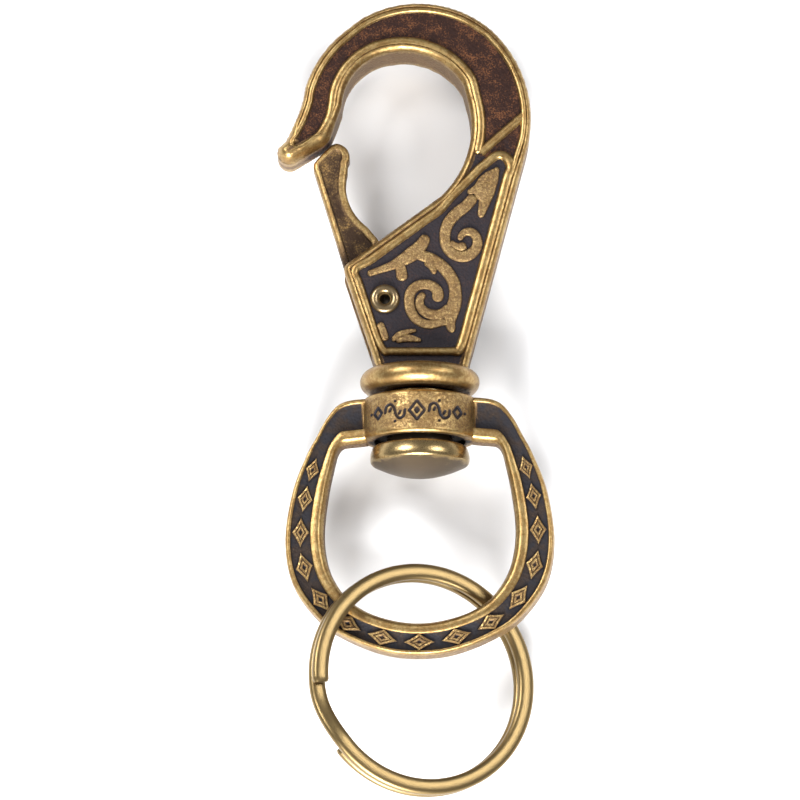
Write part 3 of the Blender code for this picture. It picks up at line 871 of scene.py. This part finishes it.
# %% Scrolls in the shield
SCROLL_TOP, BOLD, SCROLL_SHINE = FLOOR + 0.36, 1.2, 0.47
STAGGER = 0.012
SCROLLS = (
    # upper scroll: stem and volute, its inner curl, and the arrow-shaped leaf
    (((7.2, 25.9), (6.06, 24.54), (4.75, 23.46), (3.75, 22.25), (3.3, 20.9), (3.35, 19.4),
      (4.05, 18.25), (5.3, 17.7), (6.5, 17.95), (7.35, 18.85), (7.45, 19.95), (6.95, 20.8),
      (6.1, 21.0), (5.4, 20.5), (5.2, 19.8)),
     (1.2, 1.25, 1.3, 1.3, 1.3, 1.25, 1.2, 1.2, 1.25, 1.3, 1.2, 1.1, 1.0, 0.85, 0.6)),
    (((3.95, 19.75), (4.6, 19.15), (5.4, 18.98), (6.0, 19.35)), (0.5, 0.7, 0.95, 1.1)),
    (((10.2, 29.75), (9.3, 27.5), (8.5, 25.2), (7.85, 22.9)), (0.45, 1.3, 1.5, 1.2, 0.65)),
    (((10.1, 29.5), (8.8, 28.15), (7.5, 26.9), (6.2, 26.2)), (0.4, 1.3, 1.5, 0.9, 0.5)),
    (((9.3, 27.7), (8.3, 26.4), (7.2, 25.6)), (1.0, 1.9, 1.2)),
    # lower scroll: outer ring, inner curl, great arc with its leaf, branch and three prongs
    (((2.15, 11.6), (2.35, 12.7), (1.85, 13.55), (0.85, 13.95), (-0.3, 13.75), (-1.15, 12.95),
      (-1.4, 11.75), (-1.15, 10.35), (-0.3, 9.15), (1.05, 8.6), (2.5, 8.8), (3.8, 8.9)),
     (1.3, 1.25, 1.1, 1.1, 1.15, 1.15, 1.15, 1.1, 1.0, 1.0, 0.9, 0.5)),
    (((0.6, 12.8), (0.05, 12.0), (0.05, 11.0), (0.85, 10.15), (2.0, 9.85), (3.1, 10.15),
      (4.1, 11.1)), (0.75, 0.95, 1.1, 1.2, 1.2, 1.2)),
    (((-0.9, 18.3), (0.4, 17.8), (1.9, 17.15), (3.4, 15.85), (4.4, 14.1), (4.6, 12.2),
      (4.25, 10.6), (3.9, 9.0), (4.2, 7.5)),
     (1.3, 1.25, 1.3, 1.35, 1.35, 1.4, 1.6, 1.3, 0.75)),
    (((-6.8, 15.3), (-5.25, 15.85), (-3.55, 16.5), (-1.9, 17.4), (-0.45, 18.5), (0.45, 19.6),
      (0.85, 20.6)), (0.65, 0.75, 0.95, 1.35, 1.7, 1.4, 1.1)),
    (((-2.7, 17.2), (-2.4, 15.6), (-2.2, 14.4)), (1.1, 1.2, 1.35)),
    (((0.9, 17.4), (1.6, 16.4), (1.9, 15.3)), (1.6, 1.0, 0.5)),
    # small strokes beside the rivet
    (((-5.25, 8.9), (-4.75, 7.65), (-4.35, 6.4)), (0.8, 0.85, 0.8)),
    (((-3.6, 6.4), (-2.7, 7.2), (-1.6, 7.6), (-0.4, 7.8)), (0.5, 0.75, 0.6, 0.35)),
    (((-3.1, 6.3), (-1.6, 6.75), (0.2, 6.45)), (0.45, 0.9, 0.4)))
scroll_strokes = [
    stroke(through(points, 0.14), BOLD * np.array(widths), SCROLL_TOP - STAGGER * (k % 4),
           FOOT, 5, shine=SCROLL_SHINE)
    for k, (points, widths) in enumerate(SCROLLS)]
scrollwork = mesh_object("scrollwork", joined(both_faces(scroll_strokes)), sharp=60)
finished(scrollwork, hook_brass, "hook")

# %% [markdown]
# ## The gate
# The gate is a flat lever that pivots on the rivet. Its outline is split into two rails
# at the heel and at the head, and the same two-rail surface gives it a thin bright rim
# round a shallow rough recess.

# %% The gate
GATE_HALF = 1.5
FORK_RADIUS, FORK_HALF = 5.2, 0.9
GATE_EDGE, GATE_DROP, GATE_RECESS, GATE_RIMS = 0.5, 0.5, 0.3, (0.68, 0.92)
gate_line = np.concatenate([
    arc((*PIN, 3.5), 195, 372, step=6), [(-5.5, 20.6)], arc((-2.55, 27.9, 7.1), 233, 166),
    arc((-11.0, 31.7, 1.85), -30, 90, step=8),
    [(-11.6, 33.3), (-13.35, 31.5), (-13.85, 30.85), (-13.92, 30.2), (-9.6, 16.0)]])
heel_pole, head_pole = (PIN[0], PIN[1] - 3.5), (-11.35, 33.5)
gate_right, gate_left = rails(gate_line, heel_pole, head_pole, soft=15)


def gate_place(flat):
    """Distance to the outline, and how wide the rim is there: slim left and broad right."""
    to_right, to_left = distance_to(gate_right[::2], flat), distance_to(gate_left[::2], flat)
    slim, broad = GATE_RIMS
    rim = slim + (broad - slim) * smoothstep(to_left - to_right, -1, 1)
    return np.minimum(to_right, to_left), rim


def gate_height(flat):
    """Rounded edge, flat rim, then a shallow recess."""
    away, rim = gate_place(flat)
    rise = GATE_HALF - GATE_DROP * (1 - quarter_round(away / GATE_EDGE))
    return rise - GATE_RECESS * smoothstep(away, rim, rim + 0.2)


def gate_rim(flat):
    """Height at which the gate's rounded edge meets its upright side."""
    return np.full(len(flat), GATE_HALF - GATE_DROP)


right_stations, left_stations = paired(gate_right, gate_left, [
    ((-1.1, 12.7), (-8.0, 12.0)), ((-5.3, 20.5), (-10.6, 19.4)), ((-8.7, 24.4), (-12.1, 24.2)),
    ((-9.4, 29.0), (-13.6, 29.0)), ((-9.3, 31.2), (-14.0, 30.8))], 230)
gate_grid = casting(right_stations, left_stations,
                    (0, 0.02, 0.06, 0.14, 0.24, 0.36, 0.5, 0.64, 0.72, 0.8, 0.88, 0.96, 1.04, 1.12,
                     1.5), 8, gate_height, gate_rim, waist=(0.33, 0.67))
gate_lever = mesh_object("gate_lever", tube(gate_grid, 1.0), sharp=CAST_SHARP)
gate_hole = on_pin(spun(plug(PIN_RADIUS + ROOM, -4, 4), "Z", sides=40))
fork = on_pin(spun(plug(FORK_RADIUS, -FORK_HALF, FORK_HALF), "Z", sides=48))
carved(gate_lever, [("DIFFERENCE", gate_hole), ("DIFFERENCE", fork)])


def gate_wear(places):
    """Bright rim, half-worn recess and dark heel."""
    flat, z = places[:, :2], abs(places[:, 2])
    away, rim = gate_place(flat)
    recess = 0.1 + 0.1 * smoothstep(places[:, 1], 20.0, 31.0)
    front = 0.7 - (0.7 - recess) * smoothstep(away, rim - 0.08, rim + 0.15)
    wear = np.where(z > 1.0, front, 0.4)
    return wear * smoothstep(places[:, 1], 16.5, 21.0)


worn(gate_lever, gate_wear)
finished(gate_lever, gate_brass, "gate", ("gate",))

# %% [markdown]
# ## The rivet and the spring
# The rivet is a tube rolled over at both ends, so it is turned about the gate's axis. The
# spring is a wire coiled round it with two straight legs. One leg pushes the gate and the
# other stands against the slot's wall. The wire is one fixed mesh, on neither body.

# %% The rivet and the spring
HEAD_RADIUS, HEAD_THICK, BORE = 1.9, 0.6, 0.72
head_floor = FLOOR + 0.03
head_top = head_floor + HEAD_THICK
roll_at = np.array(((HEAD_RADIUS + BORE + 0.1) / 2, head_floor + 0.12))
head_roll = roll_at + (arc((*roll_at, 1.0), 0, 180, step=12) - roll_at) * (0.56, HEAD_THICK - 0.12)
half_profile = np.concatenate([[(PIN_RADIUS, head_floor), (HEAD_RADIUS - 0.1, head_floor)],
                               head_roll, [(BORE, head_top - 0.5)]])
rivet_profile = np.concatenate([half_profile, half_profile[::-1] * (1, -1)])
# Wear and painted shade: bright on the rolled rim, dark at the head's foot and down the bore.
rivet_wear_and_shade = smoothstep(abs(rivet_profile[:, 1]), head_floor + 0.1, head_top - 0.1)
rivet = mesh_object("rivet", on_pin(spun(rivet_profile, "Z", rivet_wear_and_shade, sides=64)))
finished(rivet, rivet_metal, "hook", ("gate_pin",))

WIRE, COIL, TURNS, PITCH, LEG = 0.2, 1.7, 2.5, 0.45, 4.6
COIL_START, COIL_STEPS = np.radians(170), 150
coil_turn = np.linspace(COIL_START, COIL_START + TURNS * 2 * np.pi, COIL_STEPS)
rise = TURNS * PITCH * (np.linspace(0, 1, COIL_STEPS) - 0.5)
coil = np.c_[COIL * np.cos(coil_turn), COIL * np.sin(coil_turn), rise]
towards = np.array([np.sin(coil_turn[0]), -np.cos(coil_turn[0]), 0])
away_from = np.array([-np.sin(coil_turn[-1]), np.cos(coil_turn[-1]), 0])
legs = np.linspace(LEG, 0.25, 12)[:, None]
wire_line = np.concatenate([coil[0] + legs * towards, coil, coil[-1] + legs[::-1] * away_from])


def swept(line, across, section):
    """Rows of a section's (across, up) points carried along a line that lies nearly flat."""
    return (line[:, None] + section[..., :1] * across[:, None]
            + section[..., 1:] * np.array((0, 0, 1.0)))


across_wire = np.cross(directions(wire_line), (0, 0, 1.0))
across_wire /= np.linalg.norm(across_wire, axis=1, keepdims=True)
wire = swept(wire_line, across_wire, arc((0, 0, WIRE), 0, 330, step=30)[None])
spring = mesh_object("gate_spring_coil", on_pin(tube(wire, 1.0)))
spring.data.materials.append(spring_steel)
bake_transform(spring)
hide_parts("gate_spring")
print("spring wire", round(lengths(wire_line)[-1], 1), "mm long")

# %% [markdown]
# ## The post and the washer
# Both are turned. The post's button has a soft upper edge, an upright side and a domed
# underside, and the washer is a plain ring with its edge rounded.

# %% The post and the washer
BARREL_LOW, BARREL_HIGH, SINK = -6.3, -0.65, 0.65
BUTTON, BUTTON_TOP, BUTTON_EDGE, BUTTON_DOME = 6.45, -7.0, -9.4, 1.5
SHOULDER_AT, SHOULDER_WIDE = BARREL_LOW + SINK - 0.15, 4.3
button_side = through([(BUTTON - inside, height) for inside, height in (
    (0.75, BUTTON_TOP), (0.42, BUTTON_TOP - 0.12), (0.2, BUTTON_TOP - 0.55),
    (0.03, BUTTON_TOP - 1.2), (0.03, BUTTON_EDGE + 0.6), (0.2, BUTTON_EDGE + 0.2),
    (0.6, BUTTON_EDGE))], 0.12)
dome_at = np.linspace(BUTTON - 0.7, 0, 18)
dome = np.c_[dome_at, BUTTON_EDGE - BUTTON_DOME * (1 - (dome_at / (BUTTON - 0.6)) ** 2)]
post_profile = np.concatenate([
    [(0, 4.5), (POST_RADIUS - 0.4, 4.5), (POST_RADIUS, 4.1), (POST_RADIUS, SHOULDER_AT),
     (SHOULDER_WIDE - 0.15, SHOULDER_AT), (SHOULDER_WIDE, SHOULDER_AT - 0.15),
     (SHOULDER_WIDE, BUTTON_TOP)], button_side, dome])
# The rubbed side is bright; the domed underside is kept low as painted shade, and the part inside
# the barrel is dark.
post_wear_and_shade = np.interp(post_profile[:, 1],
                      [BUTTON_EDGE - 0.2, BUTTON_EDGE + 0.3, BUTTON_TOP - 0.3, BUTTON_TOP + 0.1],
                      [0.15, 0.9, 1.0, 0.0])
post = mesh_object("headed_post", spun(post_profile, "Y", post_wear_and_shade, sides=128))
finished(post, post_brass, "hook", ("swivel_post",))

WASHER, WASHER_LOW, WASHER_HIGH = 4.75, -0.5, 0.0
washer_edge = arc((WASHER - 0.22, (WASHER_LOW + WASHER_HIGH) / 2, 0.22), 90, -90, step=15)
washer = mesh_object("washer", spun(np.concatenate([
    [(POST_RADIUS + 0.2, WASHER_HIGH), (WASHER - 0.3, WASHER_HIGH)], washer_edge,
    [(WASHER - 0.3, WASHER_LOW), (POST_RADIUS + 0.2, WASHER_LOW)]]), "Y", 0.8, sides=96))
finished(washer, post_brass, "hook", ("swivel_washer",))

# %% [markdown]
# ## The stirrup loop
# The loop is one section carried round a closed line. Its section has a thin rim outside,
# a broad rim inside with a long rounded slope, and a channel between them on each face.
# Since the loop's width changes on the way, the section is laid out from both edges
# inwards. The barrel is an oval turned about the swivel's axis, joined on, and bored. Its
# ornament is engraved by sinking the points that lie near a few lines.

# %% The stirrup loop
LOOP_HALF, CHANNEL = 2.1, 0.5
STEP_RISE = (LOOP_HALF, LOOP_HALF - 0.06, LOOP_HALF - CHANNEL + 0.06, LOOP_HALF - CHANNEL)
LEAN = np.radians(-3.5)
LOOP_PAIRS = (
    ((0, -0.85), (0, -5.6)), ((7.0, -0.75), (7.2, -6.6)), ((10.2, -1.35), (9.2, -6.8)),
    ((12.0, -3.3), (10.0, -7.0)), ((13.4, -5.9), (10.55, -7.7)), ((14.6, -8.2), (10.95, -9.1)),
    ((16.4, -13.0), (11.8, -13.3)), ((17.3, -19.3), (12.3, -18.5)),
    ((16.3, -25.0), (11.6, -23.0)), ((13.0, -29.6), (9.6, -26.5)), ((9.3, -32.1), (6.9, -28.55)),
    ((4.5, -33.95), (3.4, -29.75)), ((0, -34.45), (0, -30.15)))


def mirrored(half):
    """A closed line from the points of its right half, whose ends lie on X = 0."""
    return [*half, *((-x, y) for x, y in half[-2:0:-1])]


def loop_section(width):
    """(inward, up) points of the loop's section for each width, front and then back."""
    def rounded_edge(reach, foot, start, end, count):
        turn = np.radians(np.linspace(start, end, count))
        return np.c_[reach * (1 - np.cos(turn)), foot + (LOOP_HALF - foot) * np.sin(turn)]

    near = np.concatenate([rounded_edge(0.4, 1.1, 0, 90, 7),
                           np.c_[(0.62, 0.7, 0.78, 0.86), STEP_RISE]])
    far = np.concatenate([np.c_[(1.88, 1.8, 1.72, 1.64), STEP_RISE[::-1]],
                          rounded_edge(0.85, 0.6, 90, 0, 9)])
    squeeze = np.clip(width / 5.0, 0.7, 1.0)[:, None]
    inward = np.concatenate([near[None, :, 0] * squeeze,
                             width[:, None] - far[None, :, 0] * squeeze], axis=1)
    up = np.broadcast_to(np.r_[near[:, 1], far[:, 1]], inward.shape)
    return (np.concatenate([inward, inward[:, ::-1]], axis=1),
            np.concatenate([up, -up[:, ::-1]], axis=1))


def leaned(points, lean=LEAN):
    """Turn about the swivel's axis to where the loop lies at rest."""
    x, y, z = np.moveaxis(points, -1, 0)
    return np.stack([x * np.cos(lean) + z * np.sin(lean), y,
                     z * np.cos(lean) - x * np.sin(lean)], axis=-1)


def loop_half(side):
    """The right half of the loop's outer or inner line, from the top to the bottom."""
    half = [pair[side] for pair in LOOP_PAIRS]
    line = through(mirrored(half), closed=True)
    return line[:nearest(line, half[-1]) + 1]


halves = paired(loop_half(0), loop_half(1), LOOP_PAIRS[1:-1], 184)
outer_line, inner_line = (np.concatenate([half, half[-2:0:-1] * (-1, 1)]) for half in halves)
loop_span = inner_line - outer_line
loop_width = np.linalg.norm(loop_span, axis=1)
inward, up = loop_section(loop_width)
loop_flat = outer_line[:, None] + inward[..., None] * (loop_span / loop_width[:, None])[:, None]
loop_grid = leaned(np.concatenate([loop_flat, up[..., None]], axis=-1))
stirrup = mesh_object("stirrup_loop", tube(loop_grid, 1.0, ring=True), sharp=CAST_SHARP)

BARREL_X, BARREL_Z, BARREL_SOFT, ENGRAVED_DEEP = 7.4, 6.6, 0.55, 0.2
MIDDLE_Y = (BARREL_LOW + BARREL_HIGH) / 2
low_edge = (BARREL_X - BARREL_SOFT, BARREL_LOW + BARREL_SOFT, BARREL_SOFT)
high_edge = (BARREL_X - BARREL_SOFT, BARREL_HIGH - BARREL_SOFT, BARREL_SOFT)
barrel_profile = np.concatenate([
    [(0, BARREL_LOW)], arc(low_edge, -90, 0, step=10),
    evenly(np.array([(BARREL_X, low_edge[1]), (BARREL_X, high_edge[1])]), 44)[1:-1],
    arc(high_edge, 0, 90, step=10), [(0, BARREL_HIGH)]])


def lozenge(x, wide, tall):
    """The outline of a lozenge round (x, 0)."""
    corners = np.array([(x - wide, 0), (x, tall), (x + wide, 0), (x, -tall), (x - wide, 0)])
    return evenly(corners, 60)


half_ornament = np.concatenate([
    through([(1.55, -0.1), (1.7, 0.65), (2.25, 0.95), (2.7, 0.5), (2.85, 0.0), (3.0, -0.5),
             (3.45, -0.95), (4.0, -0.65), (4.15, 0.1)], 0.05),
    through([(2.15, 0.05), (2.3, 0.35)], 0.05), through([(3.55, -0.05), (3.4, -0.35)], 0.05),
    lozenge(5.1, 0.5, 0.75), [(6.0, 0.0), (2.85, 1.3), (2.85, -1.3)]])
ORNAMENT = np.concatenate([lozenge(0, 1.0, 1.25), lozenge(0, 0.2, 0.3), half_ornament,
                           half_ornament * (-1, -1)]) + (0, MIDDLE_Y)


def engraved(x, y):
    """1 in the middle of an engraved line on the barrel, and 0 from 0.22 mm away."""
    return 1 - smoothstep(distance_to(ORNAMENT, np.c_[x, y]), 0.08, 0.22)


def barrel_skin():
    """An oval barrel, sunk a little along the engraving on its front and its back."""
    points, faces, wear = spun(barrel_profile, "Y", sides=400, squash=BARREL_Z / BARREL_X)
    face = (abs(points[:, 2]) > 2.0) & (np.hypot(points[:, 0], points[:, 2]) > 5.0)
    sunk = np.zeros(len(points))
    sunk[face] = engraved(points[face, 0], points[face, 1]) * ENGRAVED_DEEP
    shrink = 1 - sunk / BARREL_X
    return points * np.c_[shrink, np.ones(len(points)), shrink], faces, wear


def leaned_body(body):
    return leaned(body[0]), body[1], body[2]


BORE_WIDE, SINK_WIDE, BELOW = POST_RADIUS + 0.2, 5.9, BARREL_LOW - 0.02
bore = spun([(0, 6), (BORE_WIDE, 6), (BORE_WIDE, BARREL_LOW + SINK),
             (SINK_WIDE, BARREL_LOW + SINK), (SINK_WIDE, BELOW), (BUTTON + 0.45, BELOW),
             (BUTTON + 0.45, -12), (0, -12)], "Y")
carved(stirrup, [("UNION", leaned_body(barrel_skin())), ("DIFFERENCE", leaned_body(bore))])


def loop_wear_and_highlight(places):
    """Bright rims and barrel with a painted highlight on its lower edge, brown inner slope and
    bore, dark channels and engraving.
    """
    upright = leaned(places, -LEAN)
    flat, x, y, z = upright[:, :2], abs(upright[:, 0]), upright[:, 1], abs(upright[:, 2])
    from_outer = distance_to(outer_line, flat)
    from_inner = distance_to(inner_line, flat)
    in_channel = (z > 1.5) & (from_outer > 0.42) & (from_inner > 0.9)
    wear = np.where(z > 1.5, 0.78, 0.35 + 0.43 * smoothstep(z, 0.6, 1.6))
    wear = np.where(in_channel, 0.78 * smoothstep(z, 1.8, 2.05), wear)
    oval = np.hypot(x / BARREL_X, z / BARREL_Z)
    barrel = (y > BARREL_LOW - 0.02) & (y < BARREL_HIGH + 0.02) & (oval > 0.7)
    barrel &= (x < BARREL_X - 0.05) & ((z > LOOP_HALF + 0.02) | (oval > 0.975))
    # Painted highlight: the barrel's lower edge is made brighter.
    painted_low_highlight = smoothstep(MIDDLE_Y - y, 2.1, 2.6)
    edge_light = smoothstep(abs(y - MIDDLE_Y), 2.1, 2.7)
    skin = 0.64 + 0.3 * painted_low_highlight + 0.15 * edge_light - 1.1 * engraved(*flat.T)
    wear = np.where(barrel, skin, wear)
    inside = (y > BARREL_LOW - 0.3) & (np.hypot(x, z) < 6.0)
    return np.where(inside, 0.05, wear)


worn(stirrup, loop_wear_and_highlight)
finished(stirrup, loop_brass, "loop", ("loop",))

# %% [markdown]
# ## Lozenges in the channel
# Fifteen lozenges stand in the channel on each face. Each is a stack of diamond rings
# that get smaller towards the middle: up the side, over a flat top, down into an
# engraved line, up again and down into the dot at the centre.

# %% Lozenges
LOZENGES, LONG, WIDE = 15, 2.05, 1.16
first_spot, last_spot = (13.35, -10.3), (-13.35, -10.3)
middle_line = (outer_line + 0.92 * loop_span / loop_width[:, None]
               + inner_line - 1.82 * loop_span / loop_width[:, None]) / 2
channel_line = middle_line[nearest(middle_line, first_spot):nearest(middle_line, last_spot) + 1]
step = np.arange(LOZENGES - 1)
pace = np.r_[0, np.cumsum(4.75 - 0.9 * 0.45 ** np.minimum(step, step[::-1]))]
dense = evenly(channel_line, 1001)
picked = np.round(pace / pace[-1] * 1000).astype(int)
spots, ahead = dense[picked], directions(dense)[picked]
diamond = rounded(np.linspace(0, 2 * np.pi, 24, endpoint=False), 2.25)
ring_scale = np.array([1.0, 1.0, 0.93, 0.86, 0.66, 0.6, 0.54, 0.48, 0.3, 0.22, 0.12, 0.0])
ring_rise = np.array([-0.2, 0.16, 0.3, 0.33, 0.34, 0.2, 0.2, 0.33, 0.34, 0.3, 0.12, 0.08])
ring_wear = np.array([0.0, 0.1, 0.55, 0.68, 0.6, 0.3, 0.3, 0.6, 0.62, 0.35, 0.0, 0.0])
lozenge_bodies = []
for k in range(LOZENGES):
    near_end = 0.8 + 0.2 * smoothstep(min(k, LOZENGES - 1 - k), -0.5, 2.5)
    shape = diamond * (LONG * near_end, WIDE * near_end)
    shape = shape @ np.array([ahead[k], (-ahead[k][1], ahead[k][0])])
    flat = spots[k] + ring_scale[:, None, None] * shape[None]
    height = np.broadcast_to((LOOP_HALF - CHANNEL + ring_rise)[:, None, None],
                             (*flat.shape[:2], 1))
    lozenge_bodies.append(tube(np.concatenate([flat, height], -1), ring_wear[:, None]))
lozenges = mesh_object("lozenges", leaned_body(joined(both_faces(lozenge_bodies))), sharp=35)
finished(lozenges, loop_brass, "loop")

# %% [markdown]
# ## The split ring
# One flat wire is coiled into two turns. It climbs from the back turn to the front one
# over a short stretch, and both free ends are cut square with their corners rubbed off.
# The line is a circle whose height is a function of how far round it has gone.

# %% The split ring
RING_OUTER, RING_WIDE, RING_THICK, RING_GAP = 15.0, 2.1, 1.36, 0.08
RING_CENTRE, RING_NORMAL = np.array((0.22, -37.4, 0.4)), np.array((0.34, 0.05, 0.93))
RING_START, RING_END, CLIMB = 220.0, 905.0, (548.0, 580.0)
CORNER_POWER, END_REACH, END_SHRINK = 0.75, 0.35, 0.18
turn = np.linspace(RING_START, RING_END, 460)
layer = (RING_THICK + RING_GAP) / 2 * (2 * smoothstep(turn, *CLIMB) - 1)
out = np.c_[np.cos(np.radians(turn)), np.sin(np.radians(turn)), np.zeros(len(turn))]
ring_line = (RING_OUTER - RING_WIDE / 2) * out + np.c_[np.zeros((len(turn), 2)), layer]
ring_section = rounded(np.linspace(0, 2 * np.pi, 28, endpoint=False), CORNER_POWER)
ring_section *= (RING_WIDE / 2, RING_THICK / 2)
far = lengths(ring_line)
end_soft = quarter_round(np.minimum(far, far[-1] - far) / END_REACH)
end_soft = (1 - END_SHRINK + END_SHRINK * end_soft)[:, None, None]
grid = swept(ring_line, out, end_soft * ring_section)
normal = RING_NORMAL / np.linalg.norm(RING_NORMAL)
side = np.cross((0, 1, 0), normal)
side /= np.linalg.norm(side)
grid = grid @ np.array([side, np.cross(normal, side), normal]) + RING_CENTRE
split_ring = mesh_object("split_ring_coil", tube(grid, 1.0), sharp=CAST_SHARP)
finished(split_ring, ring_brass, "ring", ("split_ring",))

# %% [markdown]
# ## The table it lies on
# A pale, matt sheet. It isn't part of the object.

# %% The table
REACH = 2.5
table_top = bpy.data.meshes.new("table")
corners = [(REACH * x, REACH * y, 0) for x, y in ((-1, -1), (1, -1), (1, 1), (-1, 1))]
table_top.from_pydata(corners, [], [(0, 1, 2, 3)])
table = bpy.data.objects.new("table", table_top)
bpy.context.scene.collection.objects.link(table)
paper = Finish("paper")
paper.set(Base_Color=(0.8, 0.8, 0.805), Roughness=0.75)
table.data.materials.append(paper.material)
